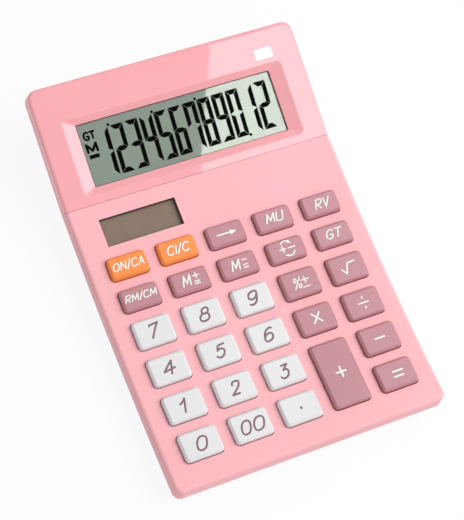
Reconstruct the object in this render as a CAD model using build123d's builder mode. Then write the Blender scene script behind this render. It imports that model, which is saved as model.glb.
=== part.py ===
"""Desk calculator: a hollow-curved keyboard deck, a raised display panel and sprung keys."""

import os
from math import cos, degrees, radians, sin, tan

from build123d import *

# Case form: side view first, in millimetres and degrees
case_width = 109.0
deck_front_height = 12.5
deck_radius = 520.0
deck_front_slope = -4.0
deck_length = 112.5
panel_slope = 16.25
panel_length = 47.5
panel_drop = 0.15
skirt_depth = 6.6
front_corner_radius = 3.0
rear_corner_radius = 4.0
deck_edge_radius = 1.5

# Walls of the upper case
deck_thickness = 1.8
skirt_wall = 2.0
seat_thickness = 1.3
boss_radius = 1.7
pilot_radius = 0.75

# Display panel and what lies behind its window
panel_thickness = 2.6
panel_gap = 0.12
recess_side_margin = 9.3
recess_height = 29.9
recess_middle = 18.25
recess_depth = 1.8
recess_corner = 2.0
recess_edge_radius = 0.6
bevel_width = 5.1
window_height = 24.4
window_middle = 18.5
window_corner = 0.4
lens_lap = 1.4
lens_height = 28.0
lens_thickness = 1.0
glass_thickness = 1.1
glass_ledge = 1.6
pocket_clearance = 0.3
pocket_rib = 1.4
ribbon_gap = 2.6
retainer_thickness = 1.2
retainer_ear = 5.0
ear_overlap = 0.7
ribbon_width = 34.0
ribbon_side_gap = 3.8
ribbon_thickness = 0.25
ribbon_bend = 1.6
ribbon_overlap = 5.0

# Key field: margins and gaps share out the deck, the two top rows are shorter
side_margin = 7.5
column_gap = 4.9
front_margin = 9.2
row_gap = 4.2
rear_margin = 21.7
top_key_share = 0.805
key_height = 2.1
key_draft = 3.0
key_corner = 1.3
corner_flats = 2
key_edge = 0.7
key_clearance = 0.3
key_wall = 1.2
tab_reach = 0.8
tab_length = 6.0
tab_thickness = 0.6
tab_gap = 0.45
post_width = 4.0
post_rib = 1.2
key_travel = 1.2

# Rubber sheet, circuit board and their screws, as depths under the deck; small rounds have flats
dome_top_depth = 3.4
sheet_top_depth = 4.7
sheet_thickness = 0.8
board_thickness = 1.2
sheet_margin = 7.1
board_margin = 8.15
board_side_gap = 1.5
board_rear_gap = 5.2
board_corner = 5.0
dome_base_radius = 3.6
dome_top_radius = 2.6
dome_hollow_radius = 2.4
boss_hole_clearance = 0.4
small_round_sides = 6
screw_radius = 1.1
screw_head_radius = 1.7
screw_head_thickness = 1.0
screw_hole_clearance = 0.2
case_seat_gap = 0.05

# Solar cell
solar_width = 30.5
solar_length = 10.9
solar_side_margin = 10.9
solar_rear_margin = 6.0
solar_margin = 1.0
solar_thickness = 1.1
solar_seat_gap = 0.05
solar_pad_inset = 2.2
solar_lead_radius = 0.35

# Parts on the circuit board, placed in from its back edge
chip_radius = 6.0
chip_height = 1.4
chip_x = -4.0
chip_inset = 10.0
capacitor_radius = 2.5
capacitor_height = 5.0
capacitor_gap = 1.8
capacitor_inset = 8.0
cell_radius = 5.8
cell_thickness = 2.1
cell_x = 20.0
cell_inset = 11.0
clip_sheet = 0.3
clip_length = 6.0
clip_side_gap = 0.1
clip_lip = 0.9

# Lower case: a rim plate inside the skirt and a tapered belly under it
rim_thickness = 1.0
rim_clearance = 0.3
belly_ear_gap = 2.8
belly_front_inset = 4.2
belly_rear_inset = 7.6
belly_taper = 12.0
belly_corner = 7.0
belly_wall = 1.8
floor_height = 0.8
floor_thickness = 1.4
floor_edge_radius = 1.0
post_wall_radius = 2.2
crease_screw_inset = 10.0
tongue_width = 12.0
tongue_reach = 1.2
tongue_thickness = 0.6
tongue_inset = 16.0
tongue_clearance = 0.15

# Battery cover and feet
cover_width = 15.0
cover_length = 24.0
cover_corner = 2.0
cover_clearance = 0.25
cover_ledge = 1.3
ledge_thickness = 1.0
cover_screw_inset = 4.0
cover_boss_height = 2.6
foot_radius = 4.5
foot_recess = 0.6
foot_side_inset = 9.0
foot_front_inset = 14.0
foot_rear_inset = 15.0

# Derived places along the side view
front_angle = radians(deck_front_slope)
crease_angle = front_angle + deck_length / deck_radius
panel_angle = radians(panel_slope)
deck_run = deck_radius * (sin(crease_angle) - sin(front_angle))
panel_run = panel_length * cos(panel_angle) + (skirt_depth + panel_drop) * sin(panel_angle)
front_y = -(deck_run + panel_run + skirt_depth * sin(front_angle)) / 2


def deck_slope(place):
    """Slope of the deck at a distance along it from the front edge."""
    return front_angle + place / deck_radius


def deck_point(place, drop=0.0):
    """Y and Z of a point at a distance along the deck, a drop below its surface."""
    angle = deck_slope(place)
    y = front_y + deck_radius * (sin(angle) - sin(front_angle)) + drop * sin(angle)
    z = deck_front_height + deck_radius * (cos(front_angle) - cos(angle)) - drop * cos(angle)
    return (y, z)


def panel_point(place, depth=0.0):
    """Y and Z of a point up the display panel from the crease, a depth below its surface."""
    y, z = deck_point(deck_length)
    below = depth + panel_drop
    return (
        y + place * cos(panel_angle) + below * sin(panel_angle),
        z + place * sin(panel_angle) - below * cos(panel_angle),
    )


def tilted_plane(x, y, z, angle):
    """Plane that leans back by an angle, with its X along the case width."""
    return Plane(origin=(x, y, z), x_dir=(1, 0, 0), z_dir=(0, -sin(angle), cos(angle)))


# Rows run from the front edge back, columns from left to right
key_width = (case_width - 2 * side_margin - 4 * column_gap) / 5
key_run = deck_length - front_margin - 5 * row_gap - rear_margin
number_key_length = key_run / (4 + 2 * top_key_share)
row_lengths = 4 * [number_key_length] + 2 * [number_key_length * top_key_share]
row_places = [
    front_margin + sum(row_lengths[:count]) + row_gap * count + row_lengths[count] / 2
    for count in range(6)
]
column_pitch = key_width + column_gap
column_places = [column_pitch * (count - 2) for count in range(5)]
field_middle = (row_places[0] + row_places[-1]) / 2

# Keys, board and screws share one axis, square to the deck at the middle of the key field
key_angle = deck_slope(field_middle)
key_plane = tilted_plane(0, *deck_point(field_middle), key_angle)
display_plane = tilted_plane(0, *panel_point(0), panel_angle)
solar_x = solar_side_margin + solar_width / 2 - case_width / 2
solar_place = deck_length - solar_rear_margin - solar_length / 2
solar_plane = tilted_plane(solar_x, *deck_point(solar_place), deck_slope(solar_place))
board_top_depth = sheet_top_depth + sheet_thickness
board_under_depth = board_top_depth + board_thickness


def key_level(height, x=0.0, y=0.0):
    """Plane across the key axis at a height over the middle of the key field."""
    origin = key_plane.from_local_coords(Vector(x, y, height))
    return Plane(origin=origin, x_dir=(1, 0, 0), z_dir=key_plane.z_dir)


def display_level(height, x=0.0, y=0.0):
    """Plane along the display panel at a height over its surface."""
    origin = display_plane.from_local_coords(Vector(x, y, height))
    return Plane(origin=origin, x_dir=(1, 0, 0), z_dir=display_plane.z_dir)


def field_place(place):
    """Distance up the key field and height of the deck there, on the key axis."""
    y, z = deck_point(place)
    local = key_plane.to_local_coords(Vector(0, y, z))
    return local.Y, local.Z


def deck_height(field_y):
    """Height of the deck surface on the key axis at a distance up the key field."""
    return deck_radius - (deck_radius**2 - field_y**2) ** 0.5


# Name, column, front row and back row of each key
key_list = [
    ("key_0", 0, 0, 0),
    ("key_00", 1, 0, 0),
    ("key_point", 2, 0, 0),
    ("key_plus", 3, 0, 1),
    ("key_equals", 4, 0, 0),
    ("key_1", 0, 1, 1),
    ("key_2", 1, 1, 1),
    ("key_3", 2, 1, 1),
    ("key_minus", 4, 1, 1),
    ("key_4", 0, 2, 2),
    ("key_5", 1, 2, 2),
    ("key_6", 2, 2, 2),
    ("key_multiply", 3, 2, 2),
    ("key_divide", 4, 2, 2),
    ("key_7", 0, 3, 3),
    ("key_8", 1, 3, 3),
    ("key_9", 2, 3, 3),
    ("key_percent", 3, 3, 3),
    ("key_root", 4, 3, 3),
    ("key_memory_recall", 0, 4, 4),
    ("key_memory_plus", 1, 4, 4),
    ("key_memory_minus", 2, 4, 4),
    ("key_sign", 3, 4, 4),
    ("key_grand_total", 4, 4, 4),
    ("key_on_clear_all", 0, 5, 5),
    ("key_clear", 1, 5, 5),
    ("key_shift", 2, 5, 5),
    ("key_markup", 3, 5, 5),
    ("key_reverse", 4, 5, 5),
]


def key_size(front_row, back_row):
    """Place along the deck and length of a key that spans some rows."""
    place = (row_places[front_row] + row_places[back_row]) / 2
    return place, row_lengths[front_row] + row_places[back_row] - row_places[front_row]


def soft_corners(width, length, corner):
    """Points of a rectangle whose corners are rounded in flats."""
    points = []
    for quarter, (side_x, side_y) in enumerate([(1, 1), (-1, 1), (-1, -1), (1, -1)]):
        for flat in range(corner_flats + 1):
            turn = radians(90 * (quarter + flat / corner_flats))
            x = side_x * (width / 2 - corner) + corner * cos(turn)
            y = side_y * (length / 2 - corner) + corner * sin(turn)
            points.append((x, y))
    return points


# Gaps between rows and columns, where bosses stand clear of the keys
column_gaps = [column_pitch * (count - 1.5) for count in range(4)]
row_gaps = [field_place((a + b) / 2)[0] for a, b in zip(row_places, row_places[1:])]
board_bosses = [
    (column_gaps[1], row_gaps[0]),
    (column_gaps[2], row_gaps[0]),
    (column_gaps[0], row_gaps[2]),
    (column_gaps[3], row_gaps[2]),
    (column_gaps[1], row_gaps[4]),
    (column_gaps[2], row_gaps[4]),
]
# Pocket of the display, on the display plane
recess_width = case_width - 2 * recess_side_margin
window_width = recess_width - 2 * bevel_width
lens_width = window_width + 2 * lens_lap
lens_front = window_middle - lens_height / 2
lens_back = window_middle + lens_height / 2
pocket_width = lens_width + 2 * pocket_clearance
pocket_front = lens_front - ribbon_gap
pocket_back = lens_back + pocket_clearance
pocket_middle = (pocket_front + pocket_back) / 2
pocket_length = pocket_back - pocket_front
seat_depth = panel_thickness + seat_thickness
lens_depth = panel_thickness + lens_thickness
glass_depth = lens_depth + 2 * glass_thickness
retainer_ear_x = pocket_width / 2 + pocket_rib + boss_radius - ear_overlap
retainer_ears = [(-retainer_ear_x, window_middle), (retainer_ear_x, window_middle)]
belly_half_width = retainer_ear_x + belly_ear_gap

# Rubber sheet and board end short of the crease, and the rear case screws stand behind the board
sheet_back = field_place(row_places[-1])[0] + sheet_margin
board_front = field_place(row_places[0])[0] - board_margin
board_back = field_place(deck_length)[0] - board_rear_gap
board_half_width = belly_half_width - board_side_gap
chip_place = (chip_x, board_back - chip_inset)
capacitor_x = solar_x + solar_width / 2 + solar_margin + capacitor_gap + capacitor_radius
capacitor_place = (capacitor_x, board_back - capacitor_inset)
cell_place = (cell_x, board_back - cell_inset)
front_case_bosses = [(column_gaps[0], row_gaps[0]), (column_gaps[3], row_gaps[0])]
crease_screw_x = belly_half_width - crease_screw_inset
ribbon_x = crease_screw_x - post_wall_radius - ribbon_side_gap - ribbon_width / 2
crease_boss_y = board_back + board_rear_gap / 2
rear_case_bosses = [(-crease_screw_x, crease_boss_y), (crease_screw_x, crease_boss_y)]
case_bosses = front_case_bosses + rear_case_bosses

# Rim, belly and floor of the lower case
rim_half_width = case_width / 2 - skirt_wall - rim_clearance
rim_inset = skirt_wall + rim_clearance
rim_depth = skirt_depth - rim_thickness
rear_y = panel_point(panel_length, skirt_depth)[0]
belly_front_y = front_y + belly_front_inset
belly_rear_y = rear_y - belly_rear_inset
belly_middle_y = (belly_front_y + belly_rear_y) / 2
belly_length = belly_rear_y - belly_front_y
belly_height = panel_point(panel_length)[1] - floor_height
floor_top = floor_height + floor_thickness
taper_step = tan(radians(belly_taper))
inner_shrink = belly_wall / cos(radians(belly_taper)) - floor_thickness * taper_step
tongue_x = belly_half_width - tongue_inset
foot_x = belly_half_width - foot_side_inset
feet_places = [
    (x, y)
    for x in (-foot_x, foot_x)
    for y in (belly_front_y + foot_front_inset, belly_rear_y - foot_rear_inset)
]
cell_centre = key_plane.from_local_coords(Vector(*cell_place, -board_under_depth))
cover_middle_y = cell_centre.Y + cover_length / 2 - cover_width / 2
cover_screw_y = cover_middle_y + cover_length / 2 - cover_screw_inset


def strip_outline(front_inset, rear_inset, crease_inset, deck_top, panel_top, bottom):
    """Closed side outline between two curves that follow the deck and the panel."""
    crease = deck_length - crease_inset
    middle = (front_inset + crease) / 2
    middle_under = (front_inset + deck_length) / 2
    rear = panel_length - rear_inset
    crease_step = [deck_point(crease, panel_top)] if crease_inset else []
    with BuildSketch(Plane.YZ) as outline:
        with BuildLine():
            ThreePointArc(
                deck_point(front_inset, deck_top),
                deck_point(middle, deck_top),
                deck_point(crease, deck_top),
            )
            Polyline(deck_point(crease, deck_top), *crease_step, panel_point(0, panel_top))
            Line(panel_point(0, panel_top), panel_point(rear, panel_top))
            Line(panel_point(rear, panel_top), panel_point(rear, bottom))
            Line(panel_point(rear, bottom), panel_point(0, bottom))
            Line(panel_point(0, bottom), deck_point(deck_length, bottom))
            ThreePointArc(
                deck_point(deck_length, bottom),
                deck_point(middle_under, bottom),
                deck_point(front_inset, bottom),
            )
            Line(deck_point(front_inset, bottom), deck_point(front_inset, deck_top))
        make_face()
    return outline.sketch


def upright_edges(face):
    """Edges of an end wall that don't run along the case width."""
    return face.edges().filter_by(Axis.X, reverse=True)


def save(part, name):
    """Label a finished piece and write it as its own file."""
    part.label = name
    export_step(part, f"parts/{name}.step")


os.makedirs("parts", exist_ok=True)

# Upper case: skirted deck with key openings, a seat for the display panel and screw bosses
with BuildPart() as upper_case:
    shell_outline = strip_outline(0, 0, 0, 0, panel_thickness, skirt_depth)
    extrude(shell_outline, amount=case_width / 2, both=True)
    fillet(upright_edges(upper_case.faces().sort_by(Axis.Y)[0]), front_corner_radius)
    fillet(upright_edges(upper_case.faces().sort_by(Axis.Y)[-1]), rear_corner_radius)
    deck_face = upper_case.faces().filter_by(GeomType.CYLINDER).sort_by(SortBy.AREA)[-2:].sort_by(Axis.Z)[-1]
    crease_edge = deck_face.edges().sort_by(Axis.Y)[-1]
    fillet([edge for edge in deck_face.edges() if edge != crease_edge], deck_edge_radius)
    hollow_outline = strip_outline(
        skirt_wall, skirt_wall, skirt_wall, deck_thickness, seat_depth, 2 * skirt_depth
    )
    extrude(hollow_outline, amount=case_width / 2 - skirt_wall, both=True, mode=Mode.SUBTRACT)
    # Round bosses run from the board up into the deck
    for x, y in board_bosses + front_case_bosses:
        with BuildSketch(key_level(-board_top_depth, x, y)):
            RegularPolygon(boss_radius, small_round_sides)
        extrude(amount=board_top_depth + deck_height(y) - deck_thickness / 2)
    for x, y in rear_case_bosses:
        with BuildSketch(key_level(-board_top_depth, x, y)):
            RegularPolygon(post_wall_radius, small_round_sides)
        extrude(amount=board_top_depth + deck_height(y) - deck_thickness / 2)
    with BuildSketch(key_level(-board_top_depth)):
        with Locations(*board_bosses, *case_bosses):
            RegularPolygon(pilot_radius, small_round_sides)
    extrude(amount=board_top_depth - deck_thickness, mode=Mode.SUBTRACT)
    # Key openings are drawn along the key axis
    with BuildSketch(key_level(-board_top_depth)):
        for name, column, front_row, back_row in key_list:
            place, length = key_size(front_row, back_row)
            with Locations((column_places[column], field_place(place)[0])):
                Polygon(
                    *soft_corners(
                        key_width + 2 * key_clearance,
                        length + 2 * key_clearance,
                        key_corner + key_clearance,
                    )
                )
    extrude(amount=2 * board_top_depth, mode=Mode.SUBTRACT)
    # Opening over the solar cell, square to the deck there
    with BuildSketch(solar_plane):
        Rectangle(solar_width, solar_length)
    extrude(amount=deck_thickness * 2, both=True, mode=Mode.SUBTRACT)
    # Rib frame, pocket and ear bosses of the display
    with BuildSketch(display_plane.offset(-glass_depth)):
        with Locations((0, pocket_middle)):
            Rectangle(pocket_width + 2 * pocket_rib, pocket_length + 2 * pocket_rib)
        with Locations(*retainer_ears):
            RegularPolygon(boss_radius, small_round_sides)
    extrude(amount=glass_depth - seat_depth)
    with BuildSketch(display_plane.offset(-panel_thickness)):
        with Locations((0, pocket_middle)):
            Rectangle(pocket_width, pocket_length)
    extrude(amount=-2 * glass_depth, mode=Mode.SUBTRACT)
    with BuildSketch(display_plane.offset(-glass_depth)):
        with Locations(*retainer_ears):
            RegularPolygon(pilot_radius, small_round_sides)
    extrude(amount=glass_depth - seat_depth, mode=Mode.SUBTRACT)
    # Slots in the rear wall for the lower case's tongues
    slot_height = tongue_thickness + 2 * tongue_clearance
    with BuildSketch(display_plane.offset(-rim_depth + tongue_clearance)):
        with Locations((-tongue_x, panel_length - skirt_wall), (tongue_x, panel_length - skirt_wall)):
            Rectangle(tongue_width + 2 * tongue_clearance, 2 * tongue_reach)
    extrude(amount=-slot_height, mode=Mode.SUBTRACT)
save(upper_case.part, "upper_case")

# Display panel: a glossy plate with a bevelled recess round the display opening
with BuildPart() as display_panel:
    with BuildSketch(display_plane.offset(-panel_thickness)) as panel_outline:
        with Locations((0, (panel_gap + panel_length) / 2)):
            Rectangle(case_width, panel_length - panel_gap)
        fillet(panel_outline.vertices().group_by(Axis.Y)[-1], rear_corner_radius)
    extrude(amount=panel_thickness)
    panel_axis = Axis(display_plane.origin, display_plane.z_dir)
    panel_top = display_panel.faces().sort_by(panel_axis)[-1]
    fillet(panel_top.edges().sort_by(Axis.Y)[1:], deck_edge_radius)
    with BuildSketch(display_plane):
        with Locations((0, recess_middle)):
            RectangleRounded(recess_width, recess_height, recess_corner)
    with BuildSketch(display_plane.offset(-recess_depth)):
        with Locations((0, window_middle)):
            RectangleRounded(window_width, window_height, window_corner)
    loft(mode=Mode.SUBTRACT)
    panel_top = display_panel.faces().sort_by(panel_axis)[-1]
    fillet(panel_top.inner_wires()[0].edges(), recess_edge_radius)
    with BuildSketch(display_plane):
        with Locations((0, window_middle)):
            RectangleRounded(window_width, window_height, window_corner)
    extrude(amount=-panel_thickness, mode=Mode.SUBTRACT)
save(display_panel.part, "display_panel")

# Display window: clear sheet against the back of the panel
with BuildPart() as display_window:
    with BuildSketch(display_plane.offset(-lens_depth)):
        with Locations((0, window_middle)):
            RectangleRounded(lens_width, lens_height, window_corner)
    extrude(amount=lens_thickness)
save(display_window.part, "display_window")

# Liquid crystal panel: two glass plates, the rear one with a contact ledge in front
with BuildPart() as lcd_panel:
    with BuildSketch(display_plane.offset(-lens_depth - glass_thickness)):
        with Locations((0, window_middle + glass_ledge / 2)):
            Rectangle(lens_width, lens_height - glass_ledge)
    extrude(amount=glass_thickness)
    with BuildSketch(display_plane.offset(-glass_depth)):
        with Locations((0, window_middle)):
            Rectangle(lens_width, lens_height)
    extrude(amount=glass_thickness)
save(lcd_panel.part, "lcd_panel")

# Retainer: plate screwed over the pocket by its two ears
with BuildPart() as lcd_retainer:
    retainer_front = lens_front + glass_ledge
    retainer_back = pocket_back + pocket_rib
    with BuildSketch(display_plane.offset(-glass_depth - retainer_thickness)):
        with Locations((0, (retainer_front + retainer_back) / 2)):
            Rectangle(pocket_width + 2 * pocket_rib, retainer_back - retainer_front)
        with Locations((0, window_middle)):
            Rectangle(2 * retainer_ear_x + retainer_ear, retainer_ear)
        with Locations(*retainer_ears):
            RegularPolygon(screw_radius, small_round_sides, mode=Mode.SUBTRACT)
    extrude(amount=retainer_thickness)
save(lcd_retainer.part, "lcd_retainer")

# Ribbon: from the contact ledge of the glass down to the back of the board
ribbon_depth = lens_depth + glass_thickness - ribbon_thickness / 2
ribbon_drop_place = lens_front - ribbon_gap / 2
board_lie = key_level(-board_top_depth + ribbon_thickness / 2)
board_end = board_lie.from_local_coords(Vector(0, board_back - ribbon_overlap, 0))
board_bend = board_lie.from_local_coords(Vector(0, board_back + 2 * ribbon_bend, 0))
with BuildPart() as lcd_ribbon:
    with BuildLine(Plane.YZ) as ribbon_path:
        FilletPolyline(
            panel_point(lens_front + glass_ledge - pocket_clearance, ribbon_depth),
            panel_point(ribbon_drop_place, ribbon_depth),
            panel_point(ribbon_drop_place, glass_depth + 2 * retainer_thickness),
            (board_bend.Y, board_bend.Z),
            (board_end.Y, board_end.Z),
            radius=ribbon_bend / 2,
        )
    ribbon_start = ribbon_path.line @ 0
    with BuildSketch(Plane(origin=ribbon_start, x_dir=(1, 0, 0), z_dir=ribbon_path.line % 0)):
        with Locations((ribbon_x, 0)):
            Rectangle(ribbon_width, ribbon_thickness)
    sweep()
save(lcd_ribbon.part, "lcd_ribbon")

# Solar cell under its opening, with a foam pad and two leads down to the board
solar_seat = deck_thickness + solar_seat_gap
solar_under = solar_plane.offset(-solar_seat - solar_thickness)
board_face = key_level(-board_top_depth)
with BuildPart() as solar_cell:
    with BuildSketch(solar_under):
        Rectangle(solar_width + 2 * solar_margin, solar_length + 2 * solar_margin)
    extrude(amount=solar_thickness)
save(solar_cell.part, "solar_cell")

with BuildPart() as solar_pad:
    with BuildSketch(solar_under):
        Rectangle(solar_width - 2 * solar_pad_inset, solar_length)
    extrude(amount=-2 * board_top_depth)
    split(bisect_by=board_face, keep=Keep.TOP)
save(solar_pad.part, "solar_pad")

with BuildPart() as solar_leads:
    with BuildSketch(solar_under):
        with GridLocations(solar_width, 0, 2, 1):
            RegularPolygon(solar_lead_radius, small_round_sides)
    extrude(amount=-2 * board_top_depth)
    split(bisect_by=board_face, keep=Keep.TOP)
save(solar_leads.part, "solar_leads")


def make_key(column, front_row, back_row):
    """Hollow key cap with side tabs under the deck and a cross post on the dome of each row."""
    place, length = key_size(front_row, back_row)
    x = column_places[column]
    y, deck_level = field_place(place)
    rows = range(front_row, back_row + 1)
    lowest_deck = min(field_place(row_places[row])[1] for row in rows)
    bottom = lowest_deck - deck_thickness - tab_gap - tab_thickness
    ceiling = deck_level + key_height - key_wall
    skirt_flare = 2 * (deck_level - bottom) * tan(radians(key_draft))
    top_y, top_z = deck_point(place, -key_height)
    post_places = [(0, field_place(row_places[row])[0] - y) for row in rows]
    with BuildPart() as key:
        with BuildSketch(key_level(bottom, x, y)):
            Polygon(
                *soft_corners(
                    key_width + skirt_flare, length + skirt_flare, key_corner + skirt_flare / 2
                )
            )
        extrude(amount=ceiling - bottom + 2 * key_height, taper=key_draft)
        split(bisect_by=tilted_plane(x, top_y, top_z, deck_slope(place)), keep=Keep.BOTTOM)
        chamfer(key.faces().sort_by(Axis.Z)[-1].edges(), key_edge)
        with BuildSketch(key_level(bottom, x, y)):
            Rectangle(key_width - 2 * key_wall, length - 2 * key_wall)
        extrude(amount=ceiling - bottom, mode=Mode.SUBTRACT)
        with BuildSketch(key_level(bottom, x, y)):
            with Locations(*post_places):
                with GridLocations(key_width + tab_reach, 0, 2, 1):
                    Rectangle(tab_reach + skirt_flare, tab_length)
        extrude(amount=tab_thickness)
        with BuildSketch(key_level(-dome_top_depth, x, y)):
            with Locations(*post_places):
                Rectangle(post_width, post_rib)
                Rectangle(post_rib, post_width)
        extrude(amount=ceiling + dome_top_depth)
    return key.part


for key_name, key_column, key_front_row, key_back_row in key_list:
    save(make_key(key_column, key_front_row, key_back_row), key_name)

# Rubber sheet: one hollow dome under every place of the key grid
dome_places = [(x, field_place(place)[0]) for x in column_places for place in row_places]
all_bosses = board_bosses + front_case_bosses
with BuildPart() as rubber_keypad:
    with BuildSketch(key_level(-board_top_depth)):
        with Locations((0, (sheet_back + board_front) / 2)):
            RectangleRounded(2 * board_half_width, sheet_back - board_front, board_corner)
        with Locations(*all_bosses):
            RegularPolygon(
                boss_radius + boss_hole_clearance, small_round_sides, mode=Mode.SUBTRACT
            )
    extrude(amount=sheet_thickness)
    with BuildSketch(key_level(-sheet_top_depth)):
        with Locations(*dome_places):
            RegularPolygon(dome_base_radius, small_round_sides)
    dome_rise = sheet_top_depth - dome_top_depth
    dome_lean = degrees((dome_base_radius - dome_top_radius) / dome_rise)
    extrude(amount=dome_rise, taper=dome_lean)
    with BuildSketch(key_level(-board_top_depth)):
        with Locations(*dome_places):
            RegularPolygon(dome_hollow_radius, small_round_sides)
    extrude(amount=key_travel, mode=Mode.SUBTRACT)
save(rubber_keypad.part, "rubber_keypad")

# Circuit board with clearance for its own screws and the lower case's posts
post_hole_radius = post_wall_radius + boss_hole_clearance
with BuildPart() as circuit_board:
    with BuildSketch(key_level(-board_under_depth)):
        with Locations((0, (board_back + board_front) / 2)):
            RectangleRounded(2 * board_half_width, board_back - board_front, board_corner)
        with Locations(*board_bosses):
            RegularPolygon(screw_radius, small_round_sides, mode=Mode.SUBTRACT)
        with Locations(*front_case_bosses):
            RegularPolygon(post_hole_radius, small_round_sides, mode=Mode.SUBTRACT)
    extrude(amount=board_thickness)
save(circuit_board.part, "circuit_board")

# Controller: chip under a round drop of resin on the back of the board
with BuildPart() as controller_chip:
    with BuildSketch(key_level(-board_under_depth, *chip_place)):
        Circle(chip_radius)
    extrude(amount=-chip_height)
    chamfer(controller_chip.faces().sort_by(Axis.Z)[0].edges(), chip_height / 2)
save(controller_chip.part, "controller_chip")

# Capacitor standing on the front of the board
with BuildPart() as capacitor:
    with BuildSketch(key_level(-board_top_depth, *capacitor_place)):
        Circle(capacitor_radius)
    extrude(amount=capacitor_height)
save(capacitor.part, "capacitor")

# Button cell and the bent strip that holds it on the back of the board
cell_level = -board_under_depth - clip_sheet
clip_half = cell_radius + clip_side_gap
with BuildPart() as button_cell:
    with BuildSketch(key_level(cell_level, *cell_place)):
        Circle(cell_radius)
    extrude(amount=-cell_thickness)
save(button_cell.part, "button_cell")

with BuildPart() as battery_clip:
    clip_depth = cell_thickness + clip_side_gap + 2 * clip_sheet
    with BuildSketch(key_level(-board_under_depth, *cell_place)):
        Rectangle(2 * (clip_half + clip_sheet), clip_length)
    extrude(amount=-clip_depth)
    with BuildSketch(key_level(cell_level, *cell_place)):
        Rectangle(2 * clip_half, clip_length)
    extrude(amount=-cell_thickness - clip_side_gap, mode=Mode.SUBTRACT)
    with BuildSketch(key_level(cell_level, *cell_place)):
        Rectangle(2 * (clip_half - clip_lip), clip_length)
    extrude(amount=-clip_depth, mode=Mode.SUBTRACT)
save(battery_clip.part, "battery_clip")

# Lower case: rim plate inside the skirt, tapered belly, posts, battery opening and foot recesses
with BuildPart() as lower_case:
    with BuildSketch(Plane.XY.offset(floor_height)):
        with Locations((0, belly_middle_y)):
            RectangleRounded(2 * belly_half_width, belly_length, belly_corner)
    extrude(amount=belly_height, taper=-belly_taper)
    fillet(lower_case.faces().sort_by(Axis.Z)[0].edges(), floor_edge_radius)
    # The belly ends half way up the rim plate
    belly_end_depth = (rim_depth + skirt_depth) / 2
    over_outline = strip_outline(
        -skirt_depth, -skirt_depth, 0, -belly_height, -belly_height, belly_end_depth
    )
    extrude(over_outline, amount=case_width, both=True, mode=Mode.SUBTRACT)
    rim_outline = strip_outline(rim_inset, rim_inset, 0, rim_depth, rim_depth, skirt_depth)
    extrude(rim_outline, amount=rim_half_width, both=True)
    with BuildSketch(Plane.XY.offset(floor_top)):
        with Locations((0, belly_middle_y)):
            RectangleRounded(
                2 * (belly_half_width - inner_shrink),
                belly_length - 2 * inner_shrink,
                belly_corner - belly_wall,
            )
    extrude(amount=belly_height, taper=-belly_taper, mode=Mode.SUBTRACT)
    # Tongues that hook into the rear wall of the upper case
    with BuildSketch(display_plane.offset(-rim_depth)):
        with Locations((-tongue_x, panel_length - rim_inset), (tongue_x, panel_length - rim_inset)):
            Rectangle(tongue_width, 2 * tongue_reach)
    extrude(amount=-tongue_thickness)
    # Screw posts rise from the floor to the bosses of the upper case
    for x, y in case_bosses:
        post_top = key_plane.from_local_coords(Vector(x, y, -board_top_depth))
        with BuildSketch(key_level(-board_top_depth, x, y)):
            RegularPolygon(post_wall_radius, small_round_sides)
        extrude(amount=floor_top - floor_thickness / 2 - post_top.Z)
    with BuildSketch(key_level(-board_top_depth)):
        with Locations(*case_bosses):
            RegularPolygon(screw_radius, small_round_sides)
    extrude(amount=-2 * deck_front_height, mode=Mode.SUBTRACT)
    with BuildSketch(Plane.XY):
        for x, y in case_bosses:
            axis_point = key_plane.from_local_coords(Vector(x, y, -board_top_depth))
            with Locations((x, axis_point.Y + axis_point.Z * tan(key_angle))):
                Circle(screw_head_radius + screw_hole_clearance)
    extrude(amount=floor_height + screw_head_thickness, mode=Mode.SUBTRACT)
    # Battery opening with an inner ledge and a boss for the cover screw
    with BuildSketch(Plane.XY.offset(floor_top)):
        with Locations((cell_centre.X, cover_middle_y)):
            Rectangle(cover_width + 2 * cover_ledge, cover_length + 2 * cover_ledge)
    extrude(amount=ledge_thickness)
    with BuildSketch(Plane.XY.offset(floor_top)):
        with Locations((cell_centre.X, cover_screw_y)):
            RegularPolygon(post_wall_radius, small_round_sides)
    extrude(amount=cover_boss_height)
    with BuildSketch(Plane.XY):
        with Locations((cell_centre.X, cover_middle_y)):
            RectangleRounded(
                cover_width + 2 * cover_clearance,
                cover_length + 2 * cover_clearance,
                cover_corner + cover_clearance,
            )
    extrude(amount=floor_top, mode=Mode.SUBTRACT)
    with BuildSketch(Plane.XY):
        with Locations((cell_centre.X, cell_centre.Y)):
            Rectangle(cover_width - 2 * cover_ledge, cover_width - 2 * cover_ledge)
    extrude(amount=floor_top + 2 * ledge_thickness, mode=Mode.SUBTRACT)
    with BuildSketch(Plane.XY):
        with Locations((cell_centre.X, cover_screw_y)):
            RegularPolygon(pilot_radius, small_round_sides)
    extrude(amount=floor_top + cover_boss_height, mode=Mode.SUBTRACT)
    with BuildSketch(Plane.XY):
        with Locations(*feet_places):
            Circle(foot_radius + screw_hole_clearance)
    extrude(amount=floor_height + foot_recess, mode=Mode.SUBTRACT)
save(lower_case.part, "lower_case")

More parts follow.
